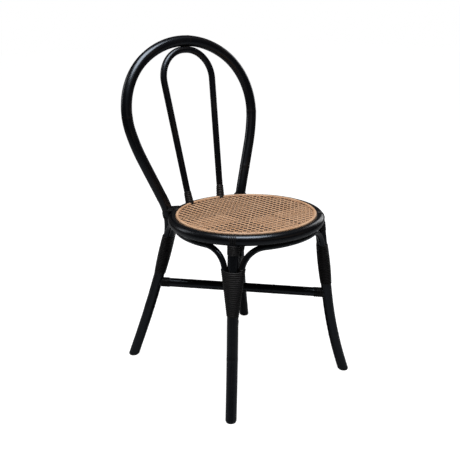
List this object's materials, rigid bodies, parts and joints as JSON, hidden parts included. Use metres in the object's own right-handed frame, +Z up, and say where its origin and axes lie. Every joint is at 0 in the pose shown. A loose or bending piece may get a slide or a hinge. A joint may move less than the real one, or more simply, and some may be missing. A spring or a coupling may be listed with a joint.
{
  "type": "rattan bistro chair",
  "caption": "Armless bistro chair of bent black rattan: balloon back with an inner hoop, round cane seat, splayed legs with arched braces and crossed stretchers.",
  "frame": {"origin": "on the floor under the middle of the chair's box", "axes": "+Z up, -Y towards the sitter's front, +X to the right of someone who faces the chair's front"},
  "size_m": [0.4434, 0.4815, 0.8809],
  "materials": {
    "pole": "black stain, satin lacquer",
    "peel": "black stain, matt",
    "cane": "natural, satin",
    "dowel": "bare",
    "glide": "matt",
    "steel": "zinc plated"
  },
  "bodies": {
    "root": {"back_hoop": "pole", "brace_back": "pole", "brace_front": "pole", "brace_left": "pole", "brace_nails": "steel", "brace_right": "pole", "cane_border": "cane", "cane_panel": "cane", "crossing_lashing": "peel", "crown_pin": "dowel", "foot_glide_front_left": "glide", "foot_glide_front_right": "glide", "foot_glide_rear_left": "glide", "foot_glide_rear_right": "glide", "front_leg_left": "pole", "front_leg_right": "pole", "glide_nails": "steel", "hoop_foot_wrap_left": "peel", "hoop_foot_wrap_right": "peel", "hoop_lashing_left": "peel", "hoop_lashing_right": "peel", "hoop_screws": "steel", "inner_hoop": "pole", "inner_hoop_dowels": "dowel", "leg_collar_left": "peel", "leg_collar_right": "peel", "leg_screws": "steel", "leg_wrap_front_left": "peel", "leg_wrap_front_right": "peel", "leg_wrap_rear_left": "peel", "leg_wrap_rear_right": "peel", "ring_lashing_left": "peel", "ring_lashing_right": "peel", "seat_ring": "pole", "stretcher_binding_front_left": "peel", "stretcher_binding_front_right": "peel", "stretcher_binding_rear_left": "peel", "stretcher_binding_rear_right": "peel", "stretcher_dowels": "dowel", "stretcher_left": "pole", "stretcher_right": "pole"}
  },
  "joints": []
}
